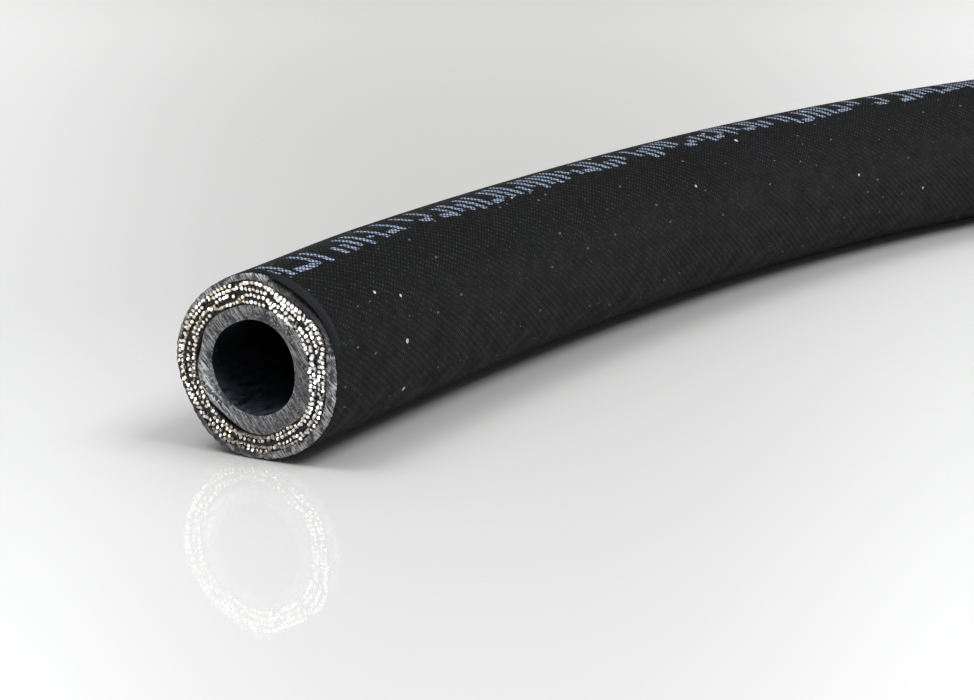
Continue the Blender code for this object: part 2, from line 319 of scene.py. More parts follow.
class Tree:
    """Short calls for a node tree. Each returns the new node's output socket."""

    def __init__(self, tree):
        self.tree = tree

    def add(self, kind, inputs, output=0, **settings):
        node = self.tree.nodes.new(kind)
        for setting, value in settings.items():
            setattr(node, setting, value)
        for socket, value in inputs.items():
            if isinstance(value, bpy.types.NodeSocket):
                self.tree.links.new(value, node.inputs[socket])
            elif value is not None:
                node.inputs[socket].default_value = value
        return node.outputs[output]

    def math(self, operation, first, second=None, third=None):
        return self.add("ShaderNodeMath", {0: first, 1: second, 2: third}, operation=operation)

    def times(self, first, second):
        return self.math("MULTIPLY", first, second)

    def place_mm(self):
        """The place on the piece in the row frame, in millimetres."""
        raw = self.add("ShaderNodeTexCoord", {}, output="Object")
        return self.add("ShaderNodeVectorMath", {0: raw, "Scale": 1000.0}, operation="SCALE")

    def split(self, vector):
        node = self.tree.nodes.new("ShaderNodeSeparateXYZ")
        self.tree.links.new(vector, node.inputs[0])
        return node.outputs[0], node.outputs[1], node.outputs[2]

    def join(self, x, y, z=0.0):
        return self.add("ShaderNodeCombineXYZ", {0: x, 1: y, 2: z})

    def stretched(self, vector, scale):
        return self.add("ShaderNodeVectorMath", {0: vector, 1: scale}, operation="MULTIPLY")

    def turned(self, vector, angles):
        return self.add("ShaderNodeMapping", {"Vector": vector, "Rotation": angles})

    def value_of(self, attribute):
        return self.add("ShaderNodeAttribute", {}, output="Fac", attribute_name=attribute)

    def hose_map(self):
        return self.split(self.add("ShaderNodeUVMap", {}, uv_map="hose_map"))[:2]

    def noise(self, vector, scale, detail=2.0, rough=0.5):
        inputs = {"Vector": vector, "Scale": scale, "Detail": detail, "Roughness": rough}
        return self.add("ShaderNodeTexNoise", inputs)

    def cells(self, vector, scale, output="Distance"):
        return self.add("ShaderNodeTexVoronoi", {"Vector": vector, "Scale": scale}, output=output)

    def chance(self, value):
        return self.add("ShaderNodeTexWhiteNoise", {"W": value}, noise_dimensions="1D")

    def fit(self, value, low, high, to_low=0.0, to_high=1.0, kind="LINEAR"):
        inputs = {"Value": value, "From Min": low, "From Max": high, "To Min": to_low, "To Max": to_high}
        return self.add("ShaderNodeMapRange", inputs, interpolation_type=kind)

    def ease(self, value, low, high):
        return self.fit(value, low, high, kind="SMOOTHSTEP")

    def mix(self, share, first, second):
        node = self.tree.nodes.new("ShaderNodeMix")
        node.data_type = "RGBA"
        for socket, value in ((0, share), (6, first), (7, second)):
            if isinstance(value, bpy.types.NodeSocket):
                self.tree.links.new(value, node.inputs[socket])
            else:
                node.inputs[socket].default_value = value if socket == 0 else (*value, 1.0)
        return node.outputs[2]

    def bump(self, height, depth_mm, before=None):
        inputs = {"Height": height, "Distance": depth_mm * MM, "Strength": 1.0, "Normal": before}
        return self.add("ShaderNodeBump", inputs)


class Nodes(Tree):
    """A new material's node tree, with these values on its shader."""

    def __init__(self, name, **values):
        self.material = bpy.data.materials.new(name)
        self.material.use_nodes = True
        super().__init__(self.material.node_tree)
        self.shader = self.tree.nodes["Principled BSDF"]
        for socket, value in values.items():
            self.shader.inputs[socket.replace("_", " ")].default_value = value

    def done(self, **sockets):
        for socket, output in sockets.items():
            self.tree.links.new(output, self.shader.inputs[socket.replace("_", " ")])
        return self.material


def weave_height(nodes, along, around):
    """The cloth's impression: 1 on the crests, where a coarse and a fine thread cross, and 0 between."""
    waves = []
    for turns_along, turns_around in (COARSE_THREADS, FINE_THREADS):
        phase = nodes.times(along, turns_along * 2 * math.pi)
        phase = nodes.math("MULTIPLY_ADD", around, turns_around * 2 * math.pi, phase)
        waves.append(nodes.math("MULTIPLY_ADD", nodes.math("COSINE", phase), 0.5, 0.5))
    return nodes.times(*waves)


def print_marks(nodes, along, around):
    """A generic stripe of strokes and dashes along the top of the hose. It spells nothing."""
    wander = nodes.noise(nodes.join(along, 0.0), 0.06, 1.0)
    height = nodes.math("ADD", around, nodes.fit(wander, 0.3, 0.7, -0.75, 0.75))
    slant = nodes.math("MULTIPLY_ADD", height, -0.22, along)
    cell = nodes.math("FLOOR", nodes.math("DIVIDE", slant, MARK_PITCH))
    across = nodes.math("FRACT", nodes.math("DIVIDE", slant, MARK_PITCH))
    kind = nodes.chance(cell)
    low_end = nodes.fit(nodes.chance(nodes.math("ADD", cell, 7.3)), 0.45, 1.0, -1.1, 1.2)
    high_end = nodes.fit(nodes.chance(nodes.math("ADD", cell, 51.9)), 0.35, 1.0, 2.85, 1.6)
    stroke = nodes.math("COMPARE", across, nodes.fit(kind, 0.0, 1.0, 0.35, 0.6), 0.24)
    stroke = nodes.times(stroke, nodes.math("GREATER_THAN", height, low_end))
    stroke = nodes.times(stroke, nodes.math("LESS_THAN", height, high_end))
    stroke = nodes.times(stroke, nodes.math("LESS_THAN", kind, 0.74))
    dash = nodes.math("COMPARE", height, 2.3, 0.42)
    dash = nodes.times(dash, nodes.math("COMPARE", kind, 0.82, 0.08))
    marked = nodes.math("MAXIMUM", stroke, dash)
    return nodes.times(marked, nodes.math("GREATER_THAN", along, 1.2))


def cover_material():
    nodes = Nodes("cover_cloth_rubber", Specular_IOR_Level=0.08)
    along, around = nodes.hose_map()
    place_mm = nodes.place_mm()
    bare = nodes.math("SUBTRACT", 1.0, nodes.value_of("torn"))
    weave = nodes.times(weave_height(nodes, along, around), bare)
    uneven = nodes.noise(place_mm, 2.2, 4.0, 0.75)
    broad = nodes.noise(place_mm, 0.09, 3.0)
    # painted highlight: the weave's crests get a lighter colour as glints, broken up by noise and lighter in
    # patches
    patchy = nodes.fit(nodes.noise(place_mm, 0.9, 3.0, 0.8), 0.32, 0.66, 0.12, 1.0)
    crest_glint = nodes.times(nodes.fit(weave, 0.40, 0.95), nodes.fit(uneven, 0.42, 0.64))
    base = nodes.mix(nodes.fit(broad, 0.3, 0.7), (0.0017, 0.0019, 0.0023), (0.0033, 0.0036, 0.0043))
    base = nodes.mix(nodes.value_of("torn"), base, (0.015, 0.017, 0.021))
    base = nodes.mix(nodes.times(crest_glint, patchy), base, (0.090, 0.093, 0.098))
    ink_depth = nodes.math("ADD", nodes.times(weave, 0.5), nodes.times(uneven, 0.7))
    ink = nodes.times(print_marks(nodes, along, around), nodes.fit(ink_depth, 0.36, 0.60, 0.06))
    base = nodes.mix(ink, base, (0.33, 0.42, 0.57))
    speck = nodes.math("LESS_THAN", nodes.cells(place_mm, 0.20), 0.05)
    fleck = nodes.math("LESS_THAN", nodes.cells(nodes.stretched(place_mm, (1.1, 0.7, 1.3)), 0.45), 0.07)
    dust = nodes.math("MAXIMUM", speck, nodes.times(fleck, 0.2))
    base = nodes.mix(dust, base, (0.55, 0.56, 0.57))
    rough = nodes.fit(nodes.noise(place_mm, 0.5, 3.0), 0.3, 0.7, 0.52, 0.72)
    grain = nodes.bump(uneven, 0.04)
    normal = nodes.bump(weave, 0.09, grain)
    return nodes.done(Base_Color=base, Roughness=rough, Normal=normal)


def saw_marks(nodes, place_mm):
    """(fine, wide) straight streaks left by the saw, running down to the right across the cut face."""
    lean = nodes.turned(place_mm, (0, -0.85, 0))
    fine = nodes.noise(nodes.stretched(lean, (0.6, 1.0, 8.0)), 1.0, 4.0, 0.75)
    wide = nodes.noise(nodes.stretched(lean, (0.3, 0.5, 2.0)), 1.0, 3.0, 0.6)
    return fine, wide


def cut_rubber_material():
    """The cover's end: sawn grey and dull, and black where it is torn."""
    nodes = Nodes("cut_cover_rubber", Specular_IOR_Level=0.22)
    place_mm = nodes.place_mm()
    fine, wide = saw_marks(nodes, place_mm)
    blotch = nodes.noise(place_mm, 1.3, 3.0)
    frost = nodes.times(nodes.fit(fine, 0.44, 0.58), nodes.fit(blotch, 0.38, 0.58, 0.10, 1.0))
    frost = nodes.times(frost, nodes.value_of("frosted"))
    base = nodes.mix(frost, (0.019, 0.021, 0.026), (0.64, 0.64, 0.65))
    scuff = nodes.noise(nodes.stretched(place_mm, (3.0, 3.0, 9.0)), 1.0, 3.0)
    black = nodes.mix(nodes.fit(scuff, 0.45, 0.75), (0.0035, 0.0037, 0.0042), (0.030, 0.032, 0.036))
    base = nodes.mix(nodes.value_of("torn"), base, black)
    rough = nodes.fit(fine, 0.3, 0.7, 0.5, 0.8)
    normal = nodes.bump(fine, 0.10, nodes.bump(blotch, 0.15))
    return nodes.done(Base_Color=base, Roughness=rough, Normal=normal)


def liner_face_material():
    """The liner's sawn face: frosted streaks on dark rubber, with painted highlights that make it lighter
    towards 270 degrees, on a raised slab near 240 degrees, on a strip near 40 degrees and along both rims.
    """
    nodes = Nodes("liner_cut_face", Specular_IOR_Level=0.30)
    place_mm = nodes.place_mm()
    fine, wide = saw_marks(nodes, place_mm)
    frost = nodes.times(nodes.fit(fine, 0.45, 0.58), nodes.fit(wide, 0.39, 0.57, 0.08, 1.0))
    grain = nodes.fit(nodes.noise(place_mm, 4.2, 2.0, 0.6), 0.55, 0.66, 0.0, 0.8)
    frost = nodes.math("MAXIMUM", frost, grain)
    # the frosting's strength: the saw's own frosting plus painted highlights on parts of the face
    frost = nodes.times(frost, nodes.value_of("rubbed"))
    base = nodes.mix(frost, (0.012, 0.0135, 0.017), (0.74, 0.74, 0.76))
    rough = nodes.fit(fine, 0.3, 0.7, 0.40, 0.66)
    normal = nodes.bump(fine, 0.09, nodes.bump(wide, 0.22))
    return nodes.done(Base_Color=base, Roughness=rough, Normal=normal)


def bore_material():
    """The liner's moulded bore: smooth and nearly black, with a painted bluish sheen in streaks on its lower
    half, which faces up.
    """
    nodes = Nodes("bore_rubber", Specular_IOR_Level=0.35)
    place_mm = nodes.place_mm()
    streak = nodes.noise(nodes.stretched(place_mm, (1.6, 0.5, 1.6)), 1.0, 4.0, 0.7)
    _, _, z = nodes.split(place_mm)
    # painted highlight: a bluish sheen in streaks on the bore's lower half; the specks below are real
    low = nodes.fit(nodes.math("SUBTRACT", float(CUT_CENTRE[2]), z), -0.3, 4.0)
    painted_sheen = nodes.times(low, nodes.fit(streak, 0.36, 0.72))
    speck = nodes.math("LESS_THAN", nodes.cells(place_mm, 0.8), 0.05)
    base = nodes.mix(painted_sheen, (0.0045, 0.005, 0.007), (0.070, 0.083, 0.115))
    base = nodes.mix(speck, base, (0.20, 0.21, 0.23))
    rough = nodes.fit(streak, 0.3, 0.7, 0.36, 0.55)
    return nodes.done(Base_Color=base, Roughness=rough, Normal=nodes.bump(streak, 0.05))


def wire_material():
    """Brass-coated steel wire, each wire with a tint of its own."""
    nodes = Nodes("brassed_wire", Metallic=1.0)
    tint = nodes.value_of("wire_tint")
    place_mm = nodes.place_mm()
    stain = nodes.noise(place_mm, 1.5, 3.0)
    base = nodes.mix(tint, (0.70, 0.69, 0.68), (0.72, 0.58, 0.38))
    base = nodes.mix(nodes.fit(stain, 0.5, 0.75, 0.0, 0.7), base, (0.20, 0.17, 0.14))
    rough = nodes.fit(stain, 0.3, 0.7, 0.3, 0.5)
    return nodes.done(Base_Color=base, Roughness=rough, Normal=nodes.bump(nodes.noise(place_mm, 9.0), 0.01))


def wire_end_material():
    """The wires' sawn ends: bright steel with a burr, with painted shade that darkens them towards the bottom
    of the cut face.
    """
    nodes = Nodes("cut_wire_end", Metallic=1.0)
    tint = nodes.value_of("wire_tint")
    place_mm = nodes.place_mm()
    base = nodes.mix(nodes.times(tint, 0.6), (0.98, 0.97, 0.95), (0.95, 0.84, 0.66))
    # painted shade: the ends darken towards the bottom of the cut face, with a random share per wire
    base = nodes.mix(nodes.value_of("wire_end_painted_shade"), base, (0.16, 0.13, 0.10))
    saw = nodes.noise(nodes.stretched(nodes.turned(place_mm, (0, -0.75, 0)), (2.0, 1.0, 14.0)), 1.0, 2.0)
    rough = nodes.fit(saw, 0.3, 0.7, 0.36, 0.5)
    return nodes.done(Base_Color=base, Roughness=rough, Normal=nodes.bump(saw, 0.03))


def plated_steel_material():
    """Turned steel with bright zinc plating: faint lathe lines round the axis and a mottled film."""
    nodes = Nodes("zinc_plated_steel", Metallic=1.0)
    place_mm = nodes.place_mm()
    lathe = nodes.noise(nodes.stretched(place_mm, (16.0, 0.15, 0.15)), 1.0, 3.0, 0.7)
    film = nodes.noise(place_mm, 0.45, 4.0, 0.6)
    wear = nodes.noise(place_mm, 2.4, 4.0, 0.7)
    base = nodes.mix(nodes.fit(film, 0.35, 0.65), (0.35, 0.36, 0.37), (0.44, 0.43, 0.40))
    base = nodes.mix(nodes.fit(wear, 0.60, 0.78, 0.0, 0.6), base, (0.17, 0.17, 0.18))
    rough = nodes.math("ADD", nodes.fit(film, 0.3, 0.7, 0.20, 0.32), nodes.fit(lathe, 0.3, 0.7, 0.0, 0.08))
    normal = nodes.bump(lathe, 0.012, nodes.bump(wear, 0.015))
    return nodes.done(Base_Color=base, Roughness=rough, Normal=normal)


def spring_steel_material():
    nodes = Nodes("drawn_spring_wire", Metallic=1.0)
    place_mm = nodes.place_mm()
    drawn = nodes.noise(nodes.stretched(place_mm, (12.0, 1.0, 1.0)), 1.0, 3.0)
    base = nodes.mix(nodes.fit(drawn, 0.3, 0.7), (0.30, 0.30, 0.31), (0.48, 0.47, 0.46))
    rough = nodes.fit(drawn, 0.3, 0.7, 0.3, 0.45)
    return nodes.done(Base_Color=base, Roughness=rough, Normal=nodes.bump(drawn, 0.01))


def seal_material():
    nodes = Nodes("nitrile_seal", Specular_IOR_Level=0.5)
    place_mm = nodes.place_mm()
    grain = nodes.noise(place_mm, 3.0, 3.0)
    base = nodes.mix(nodes.fit(grain, 0.3, 0.7), (0.008, 0.008, 0.009), (0.018, 0.018, 0.020))
    rough = nodes.fit(grain, 0.3, 0.7, 0.35, 0.5)
    return nodes.done(Base_Color=base, Roughness=rough, Normal=nodes.bump(grain, 0.01))


def floor_material():
    """White gloss board with a few faint specks. Its painted shade is laid out for the camera's place: greyer
    in the middle of the stretch that it sees, most at the back, and lightest along that stretch's two sides."""
    nodes = Nodes("white_board", Roughness=0.6, Coat_Weight=1.0, Coat_Roughness=0.03, Coat_IOR=1.4)
    place_mm = nodes.place_mm()
    turn = math.radians(CAMERA_TURN)
    x, y, _ = nodes.split(nodes.turned(place_mm, (0, 0, -turn)))
    foot_x, foot_y = CUT_CENTRE[0] + CAMERA_FROM_CUT[0], CUT_CENTRE[1] + CAMERA_FROM_CUT[1]
    aside = nodes.math("ADD", x, -float(foot_x * math.cos(turn) + foot_y * math.sin(turn)))
    ahead = nodes.math("ADD", y, -float(foot_y * math.cos(turn) - foot_x * math.sin(turn)))
    spread = SENSOR_WIDTH / 2 / LENS
    reach = nodes.fit(ahead, FLOOR_NEAR, FLOOR_FAR, FLOOR_NEAR * spread, FLOOR_FAR * spread)
    aside = nodes.math("DIVIDE", nodes.math("ABSOLUTE", aside), reach)
    beyond = nodes.math("MAXIMUM", nodes.ease(aside, 0.95, 2.3), nodes.ease(ahead, 650, 1100))
    beyond = nodes.math("MAXIMUM", beyond, nodes.ease(ahead, 170, 40))
    edge = nodes.math("POWER", nodes.ease(aside, 0.0, 1.25), 1.6)
    # painted shade on the floor: greyer at the back of the seen stretch, lighter to its sides, mid grey
    # beyond it
    base = nodes.mix(nodes.fit(ahead, 630, 190), (0.49, 0.488, 0.478), (0.70, 0.70, 0.70))
    base = nodes.mix(edge, base, (0.86, 0.87, 0.865))
    base = nodes.mix(beyond, base, (0.60, 0.60, 0.595))
    speck = nodes.math("LESS_THAN", nodes.cells(nodes.stretched(place_mm, (1.0, 1.0, 0.0)), 0.045), 0.018)
    base = nodes.mix(nodes.times(speck, 0.12), base, (0.45, 0.45, 0.45))
    return nodes.done(Base_Color=base)


# ---------------------------------------------------------------- hose

def crimp_share(distance):
    """0 along the free hose and 1 where the ferrule grips it."""
    return smooth_step(distance, MOUTH + 1.0, MOUTH + CRIMP_START)


def tear_share(angle):
    """1 in the torn stretch of the cover's rim and 0 elsewhere, with steep sides."""
    share = (np.degrees(angle) - TEAR_START) / (TEAR_END - TEAR_START)
    return np.abs(np.sin(math.pi * np.clip(share, 0, 1))) ** 0.35


def bump_at(value, centre, width):
    return np.exp(-(((value - centre) / width) ** 2))


def clock_bump(angle, centre, width):
    """A bump round a clock angle. The centre and the width are in degrees."""
    return bump_at((np.degrees(angle) - centre + 180) % 360, 180, width)


def make_cover(body):
    columns, face_rows = 256, 16
    angle = full_turn(columns)[None, :]
    tear = tear_share(angle)
    deep_tear = tear * (1 + ripple(3, angle, (9, 14, 23), 0.08) + 0.7 * clock_bump(angle, 14, 6))
    crumbs = ripple(5, angle, (31, 47, 66, 83), 0.035) * (1 + 1.8 * (np.cos(angle - 0.6) < -0.45))

    outer = wall_distances(0.10, 16.0, 0.2, 1.6, LENGTH)[:, None]
    crimp = crimp_share(outer)
    outer_r = squeezed(outer, angle, COVER_R) * (1 - crimp) + CRIMPED_COVER_R * crimp
    rounded = -0.62 * np.exp(-outer / 0.45)
    rounded += 0.07 * bump_at(outer, 1.0, 0.5) - 0.07 * bump_at(outer, 2.2, 0.8)
    outer_r = outer_r + tear * rounded - (0.05 - crumbs) * np.exp(-outer / 0.3)
    outer_d = outer + tear * 0.75 * np.exp(-outer / 1.2)
    outer_torn = tear * (1 - smooth_step(outer, 1.05, 1.25))

    share = np.linspace(0, 1, face_rows)[:, None]
    start_r = squeezed(0, angle, COVER_IN_R)
    end_r = outer_r[:1] - 0.05
    face_r = start_r + (end_r - start_r) * share
    recess = np.interp(share, [0, 0.35, 0.6, 0.72, 0.85, 1.0], [0.10, 0.40, 0.90, 1.05, 0.80, 0.62])
    pits = ripple(8, angle, (17, 29, 41), 0.03) * np.sin(share * 5)
    face_d = deep_tear * TEAR_DEPTH * recess + pits + 0.06 * share**6
    face_torn = tear + 0 * face_d
    face_frost = round_outline(COVER_FROST, angle) + 0 * face_d

    inner = wall_distances(0.0, 16.0, 1.0, 3.0, LENGTH)[::-1][:-1, None]
    inner_d = inner + TEAR_DEPTH * 0.8 * deep_tear * np.exp(-inner / 3.0)
    inner_r = squeezed(inner, angle, COVER_IN_R)

    distance = np.vstack([inner_d, face_d, outer_d])
    radius = np.vstack([inner_r, face_r, outer_r])
    torn = np.vstack([0 * inner_d, face_torn, outer_torn])
    frosted = np.vstack([0 * inner_d, face_frost, 0 * outer_torn])
    first = len(inner_d) - 1
    angle = np.broadcast_to(angle, distance.shape)
    mesh = ring_mesh("cover", distance, angle, radius, (first, first + face_rows), torn=torn, frosted=frosted)
    materials = [cover_material(), cut_rubber_material()]
    return placed_piece("hose_cover_skin", mesh, materials, body, "hose_cover", 60)


def make_liner(body):
    columns, face_rows = 160, 20
    angle = full_turn(columns)[None, :]
    share = np.linspace(0, 1, face_rows)[:, None]
    wear = ripple(21, angle, (13, 22, 37), 0.015)
    start_r = squeezed(0, angle, BORE_R) + 0.10
    parting = 0.50 * clock_bump(angle, 212, 22) + 0.34 * clock_bump(angle, 279, 13)
    end_r = squeezed(0, angle, LINER_R) - 0.04 - parting
    face_r = start_r + (end_r - start_r) * share
    lip = 0.30 * clock_bump(angle, 244, 24) * smooth_step(share, 0.25, 0.85)
    ledge = 0.16 * clock_bump(angle, 42, 26) * smooth_step(share, 0.45, 0.7)
    face_d = wear * np.sin(share * 7) + 0.10 * share**12 - 0.05 * np.sin(math.pi * share) - lip + ledge

    bore = wall_distances(0.08, 20.0, 0.4, 3.0, LENGTH)[::-1][:, None]
    bore_d = bore + 0 * angle
    bore_r = squeezed(bore, angle, BORE_R) + 0.08 * np.exp(-(bore - 0.08) / 0.12)
    outer = wall_distances(0.10, 14.0, 1.0, 4.0, LENGTH)[:, None]
    outer_d = outer - lip[-1:] * np.exp(-outer / 0.8)
    outer_r = squeezed(outer, angle, LINER_R) - parting * np.exp(-outer / 1.2)

    # painted highlight on the sawn face: lighter towards 270 degrees, on the slab near 240, the strip near 40
    # and both rims; the base share is the saw's own frosting
    leftward = 0.5 - 0.5 * np.sin(angle)
    slab = clock_bump(angle, 240, 24) * smooth_step(share, 0.2, 0.6)
    strip = clock_bump(angle, 40, 26) * smooth_step(share, 0.5, 0.75)
    rim = np.exp(-share / 0.05) + np.exp(-(1 - share) / 0.05)
    face_rubbed = 0.42 + 0.22 * leftward + 1.2 * slab + 0.9 * strip + 0.22 * rim

    distance = np.vstack([bore_d, face_d, outer_d])
    radius = np.vstack([bore_r, face_r, outer_r])
    rubbed = np.vstack([0 * bore_d, face_rubbed, 0 * outer_r])
    first = len(bore_d) - 1
    angle = np.broadcast_to(angle, distance.shape)
    mesh = ring_mesh("liner", distance, angle, radius, (first, first + face_rows), rubbed=rubbed)
    materials = [bore_material(), liner_face_material()]
    return placed_piece("inner_tube_liner", mesh, materials, body, "hose_inner_tube", 50)


def make_insulation(body):
    """The rubber layer between the braids. At the cut end it also fills the room round the strands."""
    columns = 192
    angle = full_turn(columns)[None, :]
    deep, proud = 0.24, 0.16
    front = [
        (deep, LINER_R + 0.02),
        (deep, 6.9),
        (deep, INSULATION_IN_R - 0.06),
        (proud, INSULATION_IN_R + 0.04),
        (proud, INSULATION_R - 0.04),
        (deep, INSULATION_R + 0.06),
        (deep, 8.0),
        (deep, COVER_IN_R - 0.03),
    ]
    back = STRAND_DEPTH - 0.5
    behind = [(back * 0.5, COVER_IN_R - 0.02), (back, COVER_IN_R - 0.02), (back, INSULATION_R)]
    outer = [(distance, INSULATION_R) for distance in np.arange(back + 3, LENGTH, 5.0)]
    inner = [(distance, INSULATION_IN_R) for distance in np.arange(back + 3, LENGTH, 5.0)[::-1]]
    close = [(back, INSULATION_IN_R), (back, LINER_R + 0.02), (back * 0.5, LINER_R + 0.02)]
    ends = [(LENGTH, INSULATION_R), (LENGTH, INSULATION_IN_R)]
    path = np.array([*front, *behind, *outer, *ends, *inner, *close])
    rough = np.zeros((len(path), 1))
    rough[: len(front)] = 1
    bite = ripple(31, angle, (19, 33, 52, 71), 0.07)
    distance = path[:, :1] + rough * (bite + 0.5 * np.roll(bite, 37, axis=1) * np.sin(9 * path[:, 1:]))
    radius = squeezed(path[:, :1], angle, path[:, 1:] + 0 * angle)
    angle = np.broadcast_to(angle, distance.shape)
    mesh = ring_mesh("insulation", distance, angle, radius)
    materials = [dark_filler_material()]
    return placed_piece("insulation_rubber", mesh, materials, body, "insulation_layer", 50)


def dark_filler_material():
    """The rubber that has flowed between the wires."""
    nodes = Nodes("filler_rubber", Specular_IOR_Level=0.3)
    place_mm = nodes.place_mm()
    grain = nodes.noise(place_mm, 3.5, 4.0, 0.7)
    base = nodes.mix(nodes.fit(grain, 0.35, 0.7), (0.006, 0.006, 0.007), (0.030, 0.031, 0.034))
    rough = nodes.fit(grain, 0.3, 0.7, 0.6, 0.85)
    return nodes.done(Base_Color=base, Roughness=rough, Normal=nodes.bump(grain, 0.08))


def over_under(crossing):
    """Between -1 and 1: two crossings over, two under."""
    return np.clip(2.4 * np.sin(math.pi / 2 * (crossing + 0.5)), -1, 1)


def strand_line(mean_r, way, band, across, start):
    """(distance, angle, radius) along one wire of a band wound one way round the hose. Its cut end has
    sprung straight."""
    near = start + np.array([0, 0.04, 0.14, 0.26, 0.40])
    distance = np.concatenate([near, np.arange(start + 0.6, STRAND_DEPTH, 0.40)])
    lead = math.tan(BRAID_ANGLE) / mean_r
    turned = way * lead * (distance + 0.35 * np.exp(-(distance - start) / 0.35))
    angle = 2 * math.pi * band / BANDS + across / mean_r + turned
    other = (angle + way * lead * distance) * BANDS / (2 * math.pi)
    near_cut = np.exp(-(distance - start) / 1.0)
    spread = 0.5 + 0.5 * np.cos(angle[:1] - math.radians(10))
    lift = WIRE_LIFT + (0.04 + 0.06 * spread) * near_cut
    middle = (INSULATION_IN_R + INSULATION_R) / 2
    row_r = mean_r + (0.02 + 0.06 * spread) * np.sign(middle - mean_r) * near_cut
    return distance, angle, squeezed(distance, angle, row_r + way * lift * over_under(band + other))


def wire_tube(distance, angle, radius, end_r, tilt, sides=8):
    """Points of a wire's tube, ring by ring, with a flared and slanted end."""
    centre = place(distance, angle, radius)
    forward = unit(np.gradient(centre, axis=0))
    outward = unit(centre - place(distance, angle, radius - 1.0))
    outward = unit(outward - (outward * forward).sum(1, keepdims=True) * forward)
    sideways = np.cross(forward, outward)
    turn = 2 * math.pi * np.arange(sides)[:, None] / sides
    flare = WIRE_R + (end_r - WIRE_R) * np.exp(-(distance - distance[0]) / 0.12)
    flare[0] *= 0.86
    rings = []
    for k in range(len(centre)):
        ring = np.cos(turn) * outward[k] + np.sin(turn) * sideways[k]
        ring = centre[k] + flare[k] * MM * ring
        if k < 2:
            ring = ring + 0.06 * MM * np.cos(turn - tilt) * forward[k]
        rings.append(ring)
    tip = centre[0] - 0.015 * MM * forward[0]
    return np.vstack([tip, *rings]), len(centre)


def make_braid(which, mean_r, wires, body, material_pair):
    """A braid: single wires as far as they can be seen from the cut end, and a plain sleeve beyond."""
    points, faces, tints, end_shade_shares, ends, count = [], [], [], [], [], 0
    sides = 8
    for way in (1, -1):
        for band in range(BANDS):
            band_shift = random.normal() * 0.03
            for wire in range(wires):
                across = (wire - (wires - 1) / 2) * WIRE_PITCH / math.cos(BRAID_ANGLE)
                clock = 2 * math.pi * band / BANDS + across / mean_r
                proud = 0.10 + 0.06 * math.cos(clock - math.radians(45)) + 0.12 * random.random()
                distance, angle, radius = strand_line(mean_r, way, band, across, -proud)
                bent = np.exp(-(distance + proud) / 0.4)
                angle = angle + random.normal() * 0.04 / mean_r * bent
                radius = radius + (band_shift + random.normal() * 0.035) * bent
                end_r = WIRE_END_R * (1 + 0.15 * clock_bump(clock, 38, 42))
                tube, rings = wire_tube(distance, angle, radius, end_r, random.uniform(0, 2 * math.pi), sides)
                wall = grid_faces(rings, sides, closed=False) + 1
                cap = [(0, 1 + (k + 1) % sides, 1 + k) for k in range(sides)]
                back = [tuple(1 + (rings - 1) * sides + k for k in range(sides))]
                own = [*cap, *wall.tolist(), *back]
                faces += [[corner + count for corner in face] for face in own]
                ends += [1] * (2 * sides) + [0] * (len(own) - 2 * sides)
                # painted shade on the wire ends: a little towards the lower left, most at the bottom, plus a
                # random share per wire
                end_shade_share = 0.06 - 0.06 * math.cos(clock - math.radians(45)) + 0.12 * abs(random.normal())
                end_shade_share += 0.62 * clock_bump(clock, 180, 48)
                end_shade_shares += [min(end_shade_share, 1)] * len(tube)
                warm = 0.30 - 0.30 * math.sin(angle[0] - math.radians(20)) + 0.25 * random.normal()
                tints += [min(max(warm, 0), 1)] * len(tube)
                points.append(tube)
                count += len(tube)
    sleeve = sleeve_points(mean_r)
    rows, columns = sleeve.shape[:2]
    faces += (grid_faces(rows, columns, closed=True) + count).tolist()
    ends += [0] * (rows * columns)
    tints += [0.4] * (rows * columns)
    end_shade_shares += [0.2] * (rows * columns)
    points.append(sleeve.reshape(-1, 3))
    mesh = bpy.data.meshes.new(f"{which}_braid")
    mesh.from_pydata(np.vstack(points).tolist(), [], faces)
    mesh.polygons.foreach_set("material_index", np.array(ends, np.int32))
    set_point_values(mesh, "wire_tint", tints)
    set_point_values(mesh, "wire_end_painted_shade", end_shade_shares)
    name, node = f"{which}_braid_wires", f"{which}_wire_braid"
    return placed_piece(name, mesh, material_pair, body, node, 50)


def sleeve_points(mean_r, columns=96):
    """The closed sleeve that stands for a braid under the cover, past the single wires."""
    angle = full_turn(columns)[None, :]
    out = wall_distances(STRAND_DEPTH - 0.3, STRAND_DEPTH, 0.3, 5.0, LENGTH)[:, None]
    distance = np.vstack([out, out[::-1]])
    radius = np.vstack([np.full_like(out, mean_r + BRAID_HALF), np.full_like(out, mean_r - BRAID_HALF)])
    return place(distance, angle, squeezed(distance, angle, radius + 0 * angle))


def declare_cord():
    """Works out the point at the ferrule's mouth and the hose's centreline from its end inside the ferrule to
    the cut end, in metres. Nothing is done with them.
    """
    mouth = (place(np.array([MOUTH]), 0.0, 0.0)[0]).tolist()
    path = (LINE[::-1][::4] * MM).tolist()
    if not np.allclose(path[-1], LINE[0] * MM):
        path.append((LINE[0] * MM).tolist())


# ---------------------------------------------------------------- fitting

def softened(corners, size=0.18):
    """A closed section with its corners rounded off."""
    corners = np.array(corners, float)
    rounded = []
    for before, corner, after in zip(np.roll(corners, 1, axis=0), corners, np.roll(corners, -1, axis=0)):
        arms = []
        for other in (before, after):
            reach = np.linalg.norm(other - corner)
            arms.append(corner + (other - corner) * min(size, 0.4 * reach) / reach)
        middle = 0.25 * arms[0] + 0.5 * corner + 0.25 * arms[1]
        rounded += [arms[0], middle, arms[1]]
    return rounded


